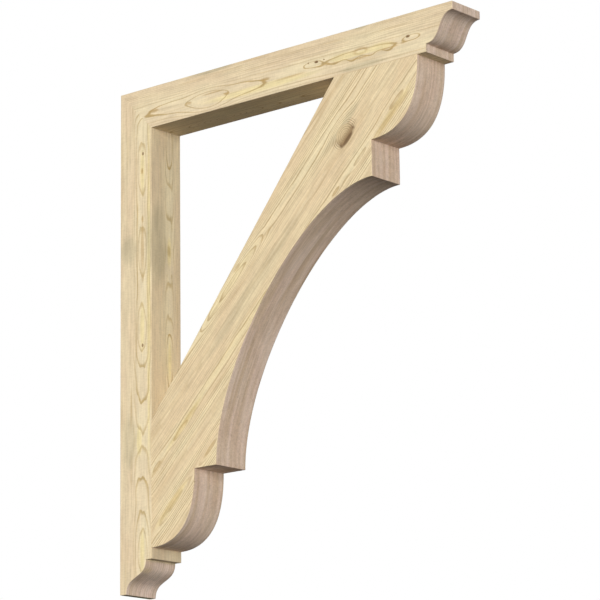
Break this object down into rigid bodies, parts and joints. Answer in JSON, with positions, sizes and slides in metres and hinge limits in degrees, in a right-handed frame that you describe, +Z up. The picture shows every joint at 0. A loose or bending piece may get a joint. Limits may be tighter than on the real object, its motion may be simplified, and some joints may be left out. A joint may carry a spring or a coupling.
{
  "type": "wooden corbel bracket",
  "caption": "Rough-sawn timber corbel bracket: wall post and level arm mitred at the top, with a scrolled knee brace between them, to carry an eave, beam or shelf.",
  "frame": {"origin": "centre of the post's flat back face, which goes against the wall", "axes": "+X straight out from the wall along the arm, +Z up the post, +Y across the width"},
  "size_m": [1.016, 0.1016, 1.2192],
  "materials": {
    "post_timber": "bare rough-sawn softwood, matt, grain upright",
    "arm_timber": "bare rough-sawn softwood, matt, grain level, with small knots",
    "brace_timber": "bare rough-sawn softwood, matt, grain along the slope, with resin streaks and a round knot"
  },
  "bodies": {
    "root": {"wall_post": "post_timber", "top_arm": "arm_timber", "knee_brace": "brace_timber"}
  },
  "joints": []
}
